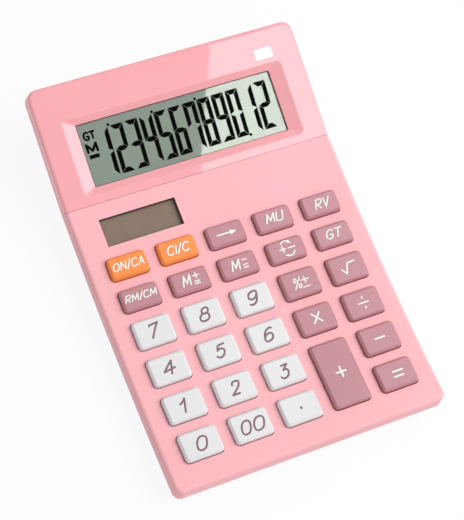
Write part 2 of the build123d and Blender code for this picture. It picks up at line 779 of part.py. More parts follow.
# Battery cover, flush with the floor, with a sunk hole for its screw
with BuildPart() as battery_cover:
    with BuildSketch(Plane.XY.offset(floor_height)):
        with Locations((cell_centre.X, cover_middle_y)):
            RectangleRounded(cover_width, cover_length, cover_corner)
    extrude(amount=floor_thickness)
    cover_head_depth = floor_thickness / 2
    with BuildSketch(Plane.XY.offset(floor_height)):
        with Locations((cell_centre.X, cover_screw_y)):
            Circle(screw_head_radius + screw_hole_clearance)
    extrude(amount=cover_head_depth, mode=Mode.SUBTRACT)
    with BuildSketch(Plane.XY.offset(floor_height)):
        with Locations((cell_centre.X, cover_screw_y)):
            RegularPolygon(screw_radius, small_round_sides)
    extrude(amount=floor_thickness, mode=Mode.SUBTRACT)
save(battery_cover.part, "battery_cover")


def make_screws(seats, head_thickness):
    """Pan-headed screws, each with its head under a seat plane and a shank of given reach."""
    with BuildPart() as screws:
        for seat, reach in seats:
            with BuildSketch(seat):
                RegularPolygon(screw_head_radius, small_round_sides)
            extrude(amount=-head_thickness)
            with BuildSketch(seat):
                RegularPolygon(pilot_radius, small_round_sides)
            extrude(amount=reach)
    return screws.part


# Case screws from under the floor into the bosses of the upper case
case_seats = []
for boss_x, boss_y in case_bosses:
    boss_end = key_plane.from_local_coords(Vector(boss_x, boss_y, -board_top_depth))
    seat_drop = (boss_end.Z - floor_height - screw_head_thickness) / cos(key_angle) + case_seat_gap
    seat_plane = key_level(-board_top_depth - seat_drop, boss_x, boss_y)
    case_seats.append((seat_plane, seat_drop + deck_thickness))
save(make_screws(case_seats, screw_head_thickness - screw_hole_clearance), "case_screws")

# Board screws through the board into the bosses of the upper case
board_reach = board_thickness + deck_thickness
board_seats = [(key_level(-board_under_depth, x, y), board_reach) for x, y in board_bosses]
save(make_screws(board_seats, screw_head_thickness), "board_screws")

# Retainer screws through the ears into the seat
ear_reach = retainer_thickness + glass_depth - seat_depth
ear_seats = [
    (display_level(-glass_depth - retainer_thickness, x, y), ear_reach) for x, y in retainer_ears
]
save(make_screws(ear_seats, screw_head_thickness), "retainer_screws")

# Cover screw into the boss beside the cell
cover_seat = Plane(origin=(cell_centre.X, cover_screw_y, floor_height + cover_head_depth))
save(make_screws([(cover_seat, cover_boss_height)], cover_head_depth), "cover_screw")

# Rubber feet pressed into their recesses
with BuildPart() as rubber_feet:
    with BuildSketch(Plane.XY):
        with Locations(*feet_places):
            Circle(foot_radius)
    extrude(amount=floor_height + foot_recess)
save(rubber_feet.part, "rubber_feet")
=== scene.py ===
"""Desk calculator: finishes, key legends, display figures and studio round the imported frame."""

import math

import bmesh
import bpy
from mathutils import Matrix, Vector


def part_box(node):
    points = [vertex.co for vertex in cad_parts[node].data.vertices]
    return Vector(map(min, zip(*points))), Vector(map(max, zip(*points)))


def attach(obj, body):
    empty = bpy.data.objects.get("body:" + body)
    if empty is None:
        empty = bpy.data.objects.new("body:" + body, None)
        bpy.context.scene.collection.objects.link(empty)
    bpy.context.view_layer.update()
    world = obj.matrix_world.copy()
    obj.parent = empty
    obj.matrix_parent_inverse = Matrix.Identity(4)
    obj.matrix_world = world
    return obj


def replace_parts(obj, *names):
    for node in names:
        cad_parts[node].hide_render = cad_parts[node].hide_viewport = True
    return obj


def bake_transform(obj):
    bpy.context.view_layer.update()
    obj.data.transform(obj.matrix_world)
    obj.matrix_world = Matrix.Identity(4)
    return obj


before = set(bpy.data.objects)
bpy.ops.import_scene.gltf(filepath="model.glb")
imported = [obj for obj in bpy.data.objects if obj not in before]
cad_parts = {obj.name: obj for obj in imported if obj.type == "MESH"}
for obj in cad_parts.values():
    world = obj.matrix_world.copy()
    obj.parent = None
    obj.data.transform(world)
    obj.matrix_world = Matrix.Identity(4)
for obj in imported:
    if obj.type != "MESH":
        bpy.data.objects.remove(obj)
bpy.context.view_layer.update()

bl_info = {
    "name": "Desk calculator",
    "version": (1, 0, 0),
    "blender": (4, 5, 0),
    "location": "View3D > Sidebar > Calculator",
    "description": "Finishes, key legends, display figures and studio for the desk calculator",
    "category": "Object",
}

MM = 0.001

# Keys by colour
DIGIT_KEYS = ["key_%d" % figure for figure in range(10)] + ["key_00", "key_point"]
CLEAR_KEYS = ["key_on_clear_all", "key_clear"]
FUNCTION_KEYS = [
    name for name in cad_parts
    if name.startswith("key_") and name not in DIGIT_KEYS + CLEAR_KEYS
]
ALL_KEYS = DIGIT_KEYS + CLEAR_KEYS + FUNCTION_KEYS

# Flat faces of a node: how far up they look, how alike their directions and how near their levels
UPWARD = 0.9
PARALLEL = 0.99999
SAME_LEVEL = 0.02 * MM

# Copies of nodes: distance at which loose points are merged
MERGE = 0.001 * MM

# Soft keys: bend of edges that are dissolved, bends of edges that are rounded, and how far
FLAT_BEND = 0.01
SOFT_BENDS = (0.3, 1.0)
SOFT_EDGE = 0.24 * MM

# Rubber domes: height over the sheet where a dome is cut off
DOME_FOOT = 0.02

# Bare plate on the display panel, in millimetres from the middle of the window
BADGE_PLACE = (39.6, 18.75, 0)
BADGE_CORNER = 0.7
BADGE_THICK = 0.05

# Window and face of the display, in millimetres: how far the window's back is lifted, how deep the
# points of that back lie at least, and the film and the dark rim that stand over the glass; the rim
# is a painted shadow round the window's edge
WINDOW_LIFT = 0.8
WINDOW_BACK = 0.2
FILM_LIFT = 0.65
FILM_THICK = 0.05
FILM_MARGIN = 0.4
EDGE_SHADOW_SIZE = (81.4, 25.7, 0.9)
EDGE_SHADOW_SHIFT = (0.15, 0.05, 0)
EDGE_SHADOW_THICK = 0.01

# Display figures, in millimetres from the middle of the window; the row is turned a little
NUMERALS = "123456789012"
ROW_TURN = 0.0083
ROW_START = -34.03
ROW_FOOT = -9.75
ROW_LEAN = 0.05
FIGURE_THICK = 0.03
BAR_GAP = 0.06
BAR_MITRE = 1.6
BAR_DEPTH = 1.12
POINTS = ((-27.5, 9.55, 1.1), (-9.65, 9.5, 1.1), (8.25, 9.6, 1.1), (25.1, -9.86, 1.2))
MARK_BAR = ((-38.3, -1.2), (-34.3, -1.2), (-34.2, .3), (-38.2, .3))
MARKS = (("GT", -38.3, -33.15, 5.8, 9.4, 0.8), ("m", -38.6, -33.8, 0.95, 4.9, 1.0))
LIT_BARS = {
    "0": "abcdef", "1": "bc", "2": "abged", "3": "abgcd", "4": "fgbc",
    "5": "afgcd", "6": "afgedc", "7": "fabc", "8": "abcdefg", "9": "abcdfg",
}

# Lines of a flat cell: shares of their width between which they fade out
LINE_EDGE = (0.35, 0.65)

# Solar cell, in millimetres: its strips, and the dark lining of its opening, which paints the shade
# on its walls
STRIP_PITCH = 7.6
STRIP_START = 1.0
STRIP_GAP = 0.5
WALL_SHADE_MARGIN = 2.02
WALL_SHADE_THICK = 0.14
WALL_SHADE_DEPTH = 1.6

# Studio, in metres and degrees; the camera's axes point right, up and back
FLOOR_SIDE = 4.0
PAPER_TONE = 0.86
PAPER_GLOW = 0.9
SOFTBOX_SIZE = (2.2, 1.4)
SOFTBOX_PLACE = (1.522, -0.470, 1.4)
SOFTBOX_TURN = -18.35
SENSOR_WIDTH = 36
CAMERA_PLACE = (-0.194700, -0.199216, 0.589351)
CAMERA_AXES = (
    (0.90730102, -0.38257435, 0.17447556),
    (0.29160015, 0.87143214, 0.39443045),
    (-0.30294258, -0.30699005, 0.90221001),
)

# Pen: size in millimetres of the unit that characters are drawn in, the space between them in
# units, and their slant; a word is then fitted to its box
PEN_UNIT = (3.6, 5.0)
PEN_SPACE = 0.24
PEN_SLANT = 0.18

# Round end of a stroke: its reach in pen widths, where it starts to narrow, and its widths at the
# tip and there; an arrow head runs from full width to a point
TIP_REACH = 0.42
TIP_START = 0.35
TIP_WIDTHS = (0.3, 0.95)
HEAD_WIDTHS = (1.0, 0.05)

# Pen strokes of each character, one unit high: straight runs, smooth curves and closed loops
PEN = {
    "0": [("loop", (0, 0), (.62, 0), (.62, 1), (0, 1))],
    "1": [("curve", (0, .66), (.16, .74), (.32, 1)), ("run", (.32, 1), (.32, 0))],
    "2": [("curve", (.05, .76), (.08, 1), (.38, 1.04), (.66, .98), (.62, .62), (.45, .42), (0, 0)),
          ("run", (0, 0), (.62, .02))],
    "3": [("run", (.1, .97), (.62, 1), (.26, .6)),
          ("curve", (.26, .6), (.5, .66), (.72, .45), (.62, .05), (.2, -.06), (0, .15))],
    "4": [("run", (.55, 0), (.55, 1), (0, .27), (.8, .42))],
    "5": [("run", (.72, 1), (.18, .94), (.1, .55)),
          ("curve", (.1, .55), (.35, .7), (.75, .55), (.66, .1), (.3, -.06), (0, .14))],
    "6": [("curve", (.66, .96), (.5, 1.06), (.1, .85), (0, .35), (.05, -.02), (.4, -.04),
           (.7, .1), (.72, .5), (.4, .62), (.12, .5), (.06, .3))],
    "7": [("run", (.02, .86), (.04, .94), (.72, 1)), ("curve", (.72, 1), (.45, .6), (.2, 0))],
    "8": [("loop", (.14, .55), (.62, .55), (.62, 1), (.14, 1)),
          ("loop", (0, -.02), (.68, -.02), (.68, .56), (0, .56))],
    "9": [("curve", (.08, .06), (.25, -.06), (.65, .1), (.72, .65), (.68, 1.04), (.32, 1.04),
           (.02, .92), (0, .5), (.32, .38), (.6, .5), (.68, .72))],
    "O": [("loop", (0, 0), (.76, 0), (.76, 1), (0, 1))],
    "N": [("run", (0, 0), (.04, 1), (.62, 0), (.66, 1))],
    "/": [("run", (0, -.08), (.34, 1.08))],
    "C": [("curve", (.66, .86), (.5, 1.06), (.1, 1), (-.06, .5), (.06, 0), (.5, -.06), (.68, .12))],
    "A": [("run", (0, 0), (.34, 1), (.68, 0)), ("run", (.12, .34), (.56, .34))],
    "I": [("run", (.05, 0), (.05, 1))],
    "M": [("run", (0, 0), (.08, 1), (.42, .2), (.76, 1), (.84, 0))],
    "m": [("run", (0, 0), (0, 1), (.36, .1), (.72, 1), (.72, 0))],
    "U": [("curve", (0, 1), (0, .55), (0, -.05), (.34, -.07), (.68, -.05), (.68, .55), (.68, 1))],
    "R": [("run", (0, 0), (.04, 1)), ("curve", (.04, 1), (.66, 1.06), (.66, .5), (.06, .46)),
          ("run", (.14, .46), (.6, 0))],
    "V": [("run", (0, 1), (.3, 0), (.66, 1))],
    "G": [("curve", (.66, .88), (.5, 1.06), (.1, 1), (-.06, .5), (.06, 0), (.5, -.06), (.66, .14),
           (.66, .42)),
          ("run", (.4, .42), (.68, .42))],
    "T": [("run", (0, 1), (.7, 1)), ("run", (.35, 1), (.33, 0))],
    "%": [("run", (.1, 0), (.5, 1)), ("loop", (0, .62), (.2, .62), (.2, .96), (0, .96)),
          ("loop", (.42, .04), (.62, .04), (.62, .38), (.42, .38))],
}

# Words on the keys: text, left, right, foot and head of the print, and pen width, in millimetres
# from the key's middle
WORDS = {
    "key_on_clear_all": [("ON/CA", -6.23, 6.1, -1.69, 2.11, .62)],
    "key_clear": [("CI/C", -4.52, 4.93, -1.99, 2.16, .7)],
    "key_markup": [("MU", -3.72, 4.58, -1.71, 2.49, .75)],
    "key_reverse": [("RV", -2.9, 4.27, -1.97, 2.38, .75)],
    "key_memory_recall": [("RM/CM", -6.39, 6.67, -1.38, 2.02, .6)],
    "key_memory_plus": [("M", -3.59, .66, -1.97, 2.43, .75)],
    "key_memory_minus": [("M", -3.6, .86, -2.04, 2.36, .75)],
    "key_grand_total": [("GT", -3.31, 4.17, -1.76, 2.44, .75)],
    "key_percent": [("%", -3.28, .52, -2.42, 2.48, .65)],
    "key_0": [("0", -2.14, 2.83, -3.1, 2.65, .75)],
    "key_1": [("1", -1.89, 1.08, -2.83, 2.92, .75)],
    "key_2": [("2", -2.15, 2.41, -2.84, 2.81, .75)],
    "key_3": [("3", -2.33, 2.17, -3.12, 2.68, .75)],
    "key_4": [("4", -2.77, 2.35, -2.73, 2.87, .75)],
    "key_5": [("5", -1.88, 2.88, -2.89, 2.76, .75)],
    "key_6": [("6", -2.22, 2.39, -2.87, 2.78, .75)],
    "key_7": [("7", -1.84, 2.58, -2.85, 3.2, .75)],
    "key_8": [("8", -2.35, 2.49, -2.9, 2.75, .75)],
    "key_9": [("9", -2.16, 2.51, -2.83, 3.02, .75)],
    "key_00": [("0", -4.46, .21, -3.19, 2.56, .75), ("0", .41, 5.53, -3.19, 2.56, .75)],
}

# Signs on the keys: pen width, kind of stroke and its points, in millimetres from the key's middle
SIGNS = {
    "key_shift": [(.85, "run", (-3.5, .16), (1.96, .16)), (2.6, "head", (1.66, .16), (4.2, .16))],
    "key_memory_plus": [(.7, "run", (1.48, 1.28), (3.63, 1.28)),
                        (.7, "run", (2.55, .23), (2.55, 2.13)),
                        (.7, "run", (1.43, -.97), (3.27, -.97)),
                        (.7, "run", (1.43, -1.87), (3.27, -1.87))],
    "key_memory_minus": [(.7, "run", (1.88, 1.37), (3.47, 1.37)),
                         (.7, "run", (1.57, -.59), (3.32, -.59)),
                         (.7, "run", (1.57, -1.69), (3.27, -1.69))],
    "key_sign": [(.8, "run", (-2.61, .28), (-.41, .28)), (.8, "run", (-1.48, -.77), (-1.48, 1.58)),
                 (.8, "run", (.88, .28), (3.44, .28)),
                 (.75, "curve", (-1.58, 2.58), (-.46, 3.33), (.77, 3.28), (1.7, 2.68)),
                 (1.8, "head", (1.29, 2.98), (2.46, 1.88)),
                 (.75, "curve", (2.72, -1.42), (2, -2.52), (.77, -2.82), (-.25, -2.52)),
                 (1.8, "head", (-.05, -2.62), (-1.48, -1.92))],
    "key_percent": [(.65, "run", (.41, .75), (3.44, .75)), (.65, "run", (1.85, -.67), (1.85, 1.88)),
                    (.65, "run", (.41, -2.07), (3.08, -2.07))],
    "key_root": [(.85, "run", (-2.66, -.56), (-1.35, -2.41), (.37, 1.64), (3.29, 1.79))],
    "key_multiply": [(.95, "run", (-1.38, -1.6), (1.74, 2.05)),
                     (.95, "run", (-1.33, 2.05), (1.79, -1.6))],
    "key_divide": [(.9, "run", (-1.99, -.06), (1.86, -.06)), (1, "run", (-.05, 1.89), (.07, 2.19)),
                   (1, "run", (-.05, -2.26), (.07, -1.96))],
    "key_minus": [(1.1, "run", (-1.81, .11), (1.83, .11))],
    "key_equals": [(1.05, "run", (-1.2, 1.01), (2.54, 1.01)),
                   (1.05, "run", (-1.4, -1.04), (2.18, -1.04))],
    "key_plus": [(1, "run", (-1.64, .2), (2.05, .2)), (1, "run", (.2, -1.75), (.2, 2.15))],
    "key_point": [(1.1, "run", (.08, -.19), (.17, -.19))],
}

# Inner pieces: node, finish, colour, roughness and what differs from a plain moulding
INNER_FINISHES = (
    ("lcd_retainer", "white_plastic", (0.8, 0.8, 0.78), 0.5, dict(drift=0.06)),
    ("lcd_ribbon", "ribbon_film", (0.55, 0.45, 0.2), 0.35, dict(grain=900, drift=0.2)),
    ("solar_pad", "foam", (0.1, 0.1, 0.1), 0.95,
     dict(grain=1600, relief=0.25, drift=0.4, marks=0.04)),
    ("solar_leads", "tinned_wire", (0.7, 0.7, 0.7), 0.3, dict(grain=600, drift=0.2, metal=1.0)),
    ("circuit_board", "board_laminate", (0.35, 0.25, 0.1), 0.5,
     dict(grain=1500, relief=0.02, drift=0.35)),
    ("controller_chip", "black_resin", (0.03, 0.03, 0.03), 0.2,
     dict(grain=300, relief=0.05, drift=0.4)),
    ("capacitor", "capacitor_can", (0.6, 0.62, 0.65), 0.35, dict(drift=0.1, metal=1.0)),
    ("battery_clip", "spring_steel", (0.65, 0.65, 0.62), 0.3, dict(drift=0.15, metal=1.0)),
    ("button_cell", "cell_steel", (0.72, 0.72, 0.72), 0.25, dict(drift=0.12, metal=1.0)),
)


# Settings


def linear(red, green, blue):
    """Linear colour from screen values of 0 to 255."""
    values = [value / 255 for value in (red, green, blue)]
    return tuple(v / 12.92 if v <= 0.04045 else ((v + 0.055) / 1.055) ** 2.4 for v in values)


def colour_property(name, screen, description):
    """Colour setting whose default is given in screen values."""
    return bpy.props.FloatVectorProperty(
        name=name, description=description, subtype="COLOR", size=3, min=0, max=1,
        default=linear(*screen),
    )


def length_property(name, millimetres, description):
    """Length setting whose default is given in millimetres."""
    return bpy.props.FloatProperty(
        name=name, description=description, unit="LENGTH", precision=5, min=0,
        default=millimetres * MM,
    )


class CalculatorColours(bpy.types.PropertyGroup):
    """Colours of the mouldings, the print and the display"""

    case: colour_property("Case", (243, 178, 184), "Colour of the two case halves")
    panel: colour_property("Display panel", (243, 166, 173), "Colour of the glossy panel")
    white_keys: colour_property("White keys", (224, 223, 224), "Colour of the number keys")
    mauve_keys: colour_property("Mauve keys", (187, 130, 139), "Colour of the function keys")
    orange_keys: colour_property("Orange keys", (245, 141, 62), "Colour of the two clear keys")
    dark_print: colour_property("Dark print", (140, 104, 119), "Legends on the number keys")
    pale_print: colour_property("Pale print", (250, 246, 240), "Legends on the coloured keys")
    display: colour_property("Display", (122, 138, 124), "Display glass with nothing lit")
    figures: colour_property("Figures", (8, 10, 8), "Lit figures of the display")
    solar: colour_property("Solar cell", (133, 112, 97), "Film of the solar cell")


class CalculatorSizes(bpy.types.PropertyGroup):
    """Sizes of the print, of the display figures and of the bare plate"""

    print_relief: length_property("Print relief", 0.02, "How far legends stand above the keys")
    figure_pitch: length_property("Figure pitch", 5.96, "Distance between display figures")
    figure_width: length_property("Figure width", 5.1, "Width of a display figure")
    figure_height: length_property("Figure height", 18.8, "Height of a display figure")
    bar_width: length_property("Bar width", 1.7, "Thickness of the bars of a figure")
    badge_width: length_property("Badge width", 7.3, "Width of the bare plate on the panel")
    badge_height: length_property("Badge height", 4.3, "Height of the bare plate on the panel")


class CalculatorStudio(bpy.types.PropertyGroup):
    """Light and camera of the studio"""

    fill: bpy.props.FloatProperty(
        name="Fill", description="Strength of the even light", min=0, default=0.56
    )
    softbox: bpy.props.FloatProperty(
        name="Softbox", description="Power of the softbox on the right", min=0, default=42.6,
        unit="POWER",
    )
    lens: bpy.props.FloatProperty(
        name="Lens", description="Focal length on a 36 mm sensor", min=10, default=118.42,
        unit="CAMERA",
    )


# Node trees


def add_node(tree, kind, settings=None, **inputs):
    """Adds a node, with its settings and the values of its unlinked inputs."""
    node = tree.nodes.new(kind)
    for name, value in (settings or {}).items():
        setattr(node, name, value)
    for name, value in inputs.items():
        node.inputs[name.replace("_", " ")].default_value = value
    return node


def add_math(tree, operation, value=None):
    """Adds a Math node, with the value of its second input unless that is linked."""
    node = add_node(tree, "ShaderNodeMath", {"operation": operation})
    if value is not None:
        node.inputs[1].default_value = value
    return node


def link(tree, *joins):
    """Links sockets, each join given as node, output, node and input."""
    for source, output, target, entry in joins:
        tree.links.new(source.outputs[output], target.inputs[entry])


def new_group(name, inputs, outputs):
    """Shader node group with number inputs and outputs, and its two end nodes."""
    tree = bpy.data.node_groups.new(name, "ShaderNodeTree")
    for label, default in inputs.items():
        socket = tree.interface.new_socket(label, in_out="INPUT", socket_type="NodeSocketFloat")
        socket.default_value = default
    for label in outputs:
        tree.interface.new_socket(label, in_out="OUTPUT", socket_type="NodeSocketFloat")
    return tree, add_node(tree, "NodeGroupInput"), add_node(tree, "NodeGroupOutput")


def moulded_grain(name):
    """Group: fine spark-eroded texture and broad drift of tone in a moulded surface."""
    tree, source, sink = new_group(name, {"Scale": 1800, "Drift": 45}, ("Height", "Tone"))
    place = add_node(tree, "ShaderNodeTexCoord")
    fine = add_node(tree, "ShaderNodeTexNoise", Detail=2.0, Roughness=0.6)
    broad = add_node(tree, "ShaderNodeTexNoise", Detail=2.0, Roughness=0.5)
    tone = add_node(tree, "ShaderNodeMapRange", From_Min=0.3, From_Max=0.7)
    link(
        tree,
        (place, "Object", fine, "Vector"),
        (place, "Object", broad, "Vector"),
        (source, "Scale", fine, "Scale"),
        (source, "Drift", broad, "Scale"),
        (broad, "Fac", tone, "Value"),
        (fine, "Fac", sink, "Height"),
        (tone, "Result", sink, "Tone"),
    )
    return tree


def handling_marks(name):
    """Group: finger smudges left by use."""
    tree, source, sink = new_group(name, {"Spread": 70}, ("Smudge",))
    place = add_node(tree, "ShaderNodeTexCoord")
    smear = add_node(tree, "ShaderNodeTexNoise", Detail=4.0, Roughness=0.65, Distortion=1.2)
    smudge = add_node(tree, "ShaderNodeMapRange", From_Min=0.35, From_Max=0.75)
    link(
        tree,
        (place, "Object", smear, "Vector"),
        (source, "Spread", smear, "Scale"),
        (smear, "Fac", smudge, "Value"),
        (smudge, "Result", sink, "Smudge"),
    )
    return tree


def brushed_lines(name):
    """Group: drawn or brushed lines of sheet metal along X."""
    tree, source, sink = new_group(name, {"Scale": 300}, ("Height", "Tone"))
    place = add_node(tree, "ShaderNodeTexCoord")
    stretch = add_node(tree, "ShaderNodeMapping", Scale=(1.0, 22.0, 22.0))
    lines = add_node(tree, "ShaderNodeTexNoise", Detail=3.0, Roughness=0.7)
    tone = add_node(tree, "ShaderNodeMapRange", From_Min=0.3, From_Max=0.7)
    link(
        tree,
        (place, "Object", stretch, "Vector"),
        (stretch, "Vector", lines, "Vector"),
        (source, "Scale", lines, "Scale"),
        (lines, "Fac", tone, "Value"),
        (lines, "Fac", sink, "Height"),
        (tone, "Result", sink, "Tone"),
    )
    return tree


def add_group(tree, name, build, **inputs):
    """Adds a shared node group, which is built the first time that it is asked for."""
    group = bpy.data.node_groups.get(name) or build(name)
    return add_node(tree, "ShaderNodeGroup", {"node_tree": group}, **inputs)


def surface(
    name, colour, rough, grain=1800, relief=0.01, drift=0.05, marks=0.06, metal=0.0, **sockets
):
    """Material with grain, drift of tone and handling marks; relief is in millimetres."""
    material = bpy.data.materials.new(name)
    material.use_nodes = True
    tree = material.node_tree
    shader = tree.nodes["Principled BSDF"]
    shader.inputs["Metallic"].default_value = metal
    for socket, value in sockets.items():
        shader.inputs[socket.replace("_", " ")].default_value = value
    if metal:
        texture = add_group(tree, "Brushed lines", brushed_lines, Scale=grain)
    else:
        texture = add_group(tree, "Moulded grain", moulded_grain, Scale=grain)
    wear = add_group(tree, "Handling marks", handling_marks)
    tint = add_node(tree, "ShaderNodeMix", {"data_type": "RGBA"})
    tint.inputs["A"].default_value = (*colour, 1)
    tint.inputs["B"].default_value = (*[value * (1 - drift) for value in colour], 1)
    gloss = add_node(tree, "ShaderNodeMapRange", To_Min=rough - marks, To_Max=rough + marks)
    bump = add_node(tree, "ShaderNodeBump", Strength=1.0, Distance=relief * MM)
    link(
        tree,
        (texture, "Tone", tint, "Factor"),
        (tint, "Result", shader, "Base Color"),
        (wear, "Smudge", gloss, "Value"),
        (gloss, "Result", shader, "Roughness"),
        (texture, "Height", bump, "Height"),
        (bump, "Normal", shader, "Normal"),
    )
    return material


def lined_glass(name, colour, rough, shade, pitch, start, width, **sockets):
    """Material of a flat cell with darker lines at a pitch along X; lengths are in millimetres."""
    material = surface(
        name, colour, rough, grain=900, relief=0.0, drift=0.08, marks=rough * 0.5, **sockets
    )
    tree = material.node_tree
    shader = tree.nodes["Principled BSDF"]
    base = shader.inputs["Base Color"].links[0].from_socket
    place = add_node(tree, "ShaderNodeTexCoord")
    split = add_node(tree, "ShaderNodeSeparateXYZ")
    shift = add_math(tree, "SUBTRACT", start * MM)
    beat = add_math(tree, "PINGPONG", pitch * MM / 2)
    mask = add_node(
        tree, "ShaderNodeMapRange", To_Min=1.0, To_Max=0.0,
        From_Min=width * MM * LINE_EDGE[0], From_Max=width * MM * LINE_EDGE[1],
    )
    mix = add_node(tree, "ShaderNodeMix", {"data_type": "RGBA"})
    mix.inputs["B"].default_value = (*[value * shade for value in colour], 1)
    tree.links.new(base, mix.inputs["A"])
    link(
        tree,
        (place, "Object", split, "Vector"),
        (split, "X", shift, 0),
        (shift, "Value", beat, 0),
        (beat, "Value", mask, "Value"),
        (mask, "Result", mix, "Factor"),
        (mix, "Result", shader, "Base Color"),
    )
    return material


def dress(material, *nodes):
    """Puts a material on nodes of the frame."""
    for name in nodes:
        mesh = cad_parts[name].data
        mesh.materials.clear()
        mesh.materials.append(material)


# Places


def face_frame(node):
    """Plane on a node's largest upward face, with Z out of it, and the face's width and length."""
    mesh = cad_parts[node].data
    upward = [face for face in mesh.polygons if face.normal.z > UPWARD]
    largest = max(upward, key=lambda face: face.area)
    normal = largest.normal.copy()
    level = normal.dot(largest.center)
    corners = [
        mesh.vertices[index].co
        for face in upward
        if face.normal.dot(normal) > PARALLEL and abs(normal.dot(face.center) - level) < SAME_LEVEL
        for index in face.vertices
    ]
    across = Vector((1, 0, 0))
    along = normal.cross(across)
    xs = [corner.dot(across) for corner in corners]
    ys = [corner.dot(along) for corner in corners]
    middle = across * (min(xs) + max(xs)) / 2 + along * (min(ys) + max(ys)) / 2 + normal * level
    plane = Matrix((
        (across.x, along.x, normal.x, middle.x),
        (across.y, along.y, normal.y, middle.y),
        (across.z, along.z, normal.z, middle.z),
        (0, 0, 0, 1),
    ))
    return plane, max(xs) - min(xs), max(ys) - min(ys)


def face_plane(node):
    """Plane on a node's largest upward face."""
    return face_frame(node)[0]


def moved(plane, x, y, z):
    """Plane moved along its own axes by lengths in millimetres."""
    return plane @ Matrix.Translation((x * MM, y * MM, z * MM))


def place_at_window(node):
    """Plane on a node's largest upward face, with its origin in line with the window's middle."""
    plane = face_plane(node)
    local = plane.inverted() @ face_plane("display_window").translation
    return plane @ Matrix.Translation((local.x, local.y, 0))


# Meshes


def node_copy(node):
    """Copy of a node's loose triangles, merged."""
    bm = bmesh.new()
    bm.from_mesh(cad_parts[node].data)
    bmesh.ops.remove_doubles(bm, verts=bm.verts, dist=MERGE)
    return bm


def flat_plate(width, height):
    """One rectangular face about the origin, in millimetres."""
    bm = bmesh.new()
    bmesh.ops.create_grid(bm, x_segments=1, y_segments=1, size=0.5)
    bmesh.ops.scale(bm, vec=(width, height, 1), verts=bm.verts)
    return bm


def plate_ring(width, height, rim):
    """Flat rectangular ring of the given rim, in millimetres."""
    bm = flat_plate(width, height)
    inner = bmesh.ops.inset_region(
        bm, faces=bm.faces[:], thickness=rim, use_boundary=True, use_even_offset=True
    )
    ring = set(inner["faces"])
    bmesh.ops.delete(bm, geom=[face for face in bm.faces if face not in ring], context="FACES")
    return bm


def thicken(bm, relief):
    """Turns flat faces into plates of the given thickness."""
    grown = bmesh.ops.extrude_face_region(bm, geom=bm.faces[:])
    points = [part for part in grown["geom"] if isinstance(part, bmesh.types.BMVert)]
    bmesh.ops.translate(bm, vec=(0, 0, relief), verts=points)


def mesh_of(bm, name):
    """Mesh of a finished bmesh."""
    mesh = bpy.data.meshes.new(name)
    bm.to_mesh(mesh)
    bm.free()
    return mesh


def placed_mesh(bm, name, place):
    """Mesh of a bmesh drawn in millimetres, moved to its place in the frame."""
    bmesh.ops.recalc_face_normals(bm, faces=bm.faces)
    bm.transform(place @ Matrix.Scale(MM, 4))
    return mesh_of(bm, name)


def key_piece(kind, key):
    """Name of a piece that belongs to a key."""
    return key.replace("key", kind, 1)


def add_piece(mesh, material, body):
    """Object for a finished mesh that moves with a body of the frame, or with none."""
    piece = bpy.data.objects.new(mesh.name, mesh)
    bpy.context.scene.collection.objects.link(piece)
    mesh.materials.clear()
    mesh.materials.append(material)
    if body:
        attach(piece, body)
    return piece


# Print


def pen_strokes(text, left, right, foot, head, pen, slant=PEN_SLANT):
    """Strokes of a slanted word whose print fills the box between left, right, foot and head."""
    wide, tall = PEN_UNIT
    cursor = 0.0
    strokes = []
    for character in text:
        for kind, *points in PEN[character]:
            drawn = [((x + cursor) * wide + y * tall * slant, y * tall) for x, y in points]
            strokes.append((pen, kind, drawn))
        cursor += max(x for kind, *points in PEN[character] for x, y in points) + PEN_SPACE
    trial = pen_drawing("fitting", strokes)
    xs = [vertex.co.x for vertex in trial.vertices]
    ys = [vertex.co.y for vertex in trial.vertices]
    bpy.data.meshes.remove(trial)
    across = (right - left - pen) / (max(xs) - min(xs) - pen)
    along = (head - foot - pen) / (max(ys) - min(ys) - pen)
    shift_x = left + pen / 2 - (min(xs) + pen / 2) * across
    shift_y = foot + pen / 2 - (min(ys) + pen / 2) * along
    return [
        (pen, kind, [(x * across + shift_x, y * along + shift_y) for x, y in points])
        for _, kind, points in strokes
    ]


def add_spline(curve, kind, points, pen):
    """One pen stroke with round ends."""
    points = [Vector((x, y)) for x, y in points]
    widths = [1.0] * len(points)
    if kind == "head":
        widths = HEAD_WIDTHS
    elif kind != "loop":
        reach = pen * TIP_REACH
        rest = 1 - TIP_START
        first = points[0] - (points[1] - points[0]).normalized() * reach
        last = points[-1] + (points[-1] - points[-2]).normalized() * reach
        points = [
            first, first * TIP_START + points[0] * rest, *points,
            last * TIP_START + points[-1] * rest, last,
        ]
        widths = [*TIP_WIDTHS, *widths, *reversed(TIP_WIDTHS)]
    spline = curve.splines.new("NURBS")
    spline.points.add(len(points) - 1)
    for control, point, width in zip(spline.points, points, widths):
        control.co = (point.x, point.y, 0, 1)
        control.radius = width * pen
    spline.order_u = 3
    spline.use_endpoint_u = kind != "loop"
    spline.use_cyclic_u = kind == "loop"


def pen_drawing(name, strokes):
    """Mesh of pen strokes drawn in millimetres on the XY plane."""
    curve = bpy.data.curves.new(name, "CURVE")
    curve.dimensions = "3D"
    curve.bevel_depth = 0.5
    curve.bevel_resolution = 0
    curve.resolution_u = 5
    curve.use_fill_caps = True
    for pen, kind, points in strokes:
        if kind == "run":
            for pair in zip(points, points[1:]):
                add_spline(curve, kind, pair, pen)
        else:
            add_spline(curve, kind, points, pen)
    drawing = bpy.data.objects.new(name, curve)
    mesh = bpy.data.meshes.new_from_object(drawing)
    bpy.data.objects.remove(drawing)
    bpy.data.curves.remove(curve)
    return mesh


def pen_mesh(name, strokes, place, relief):
    """Thin mesh of pen strokes laid on a plane of the frame."""
    mesh = pen_drawing(name, strokes)
    widest = max(pen for pen, kind, points in strokes)
    mesh.transform(place @ Matrix.Diagonal((MM, MM, 2 * relief / widest, 1)))
    return mesh


# Pieces and their steps


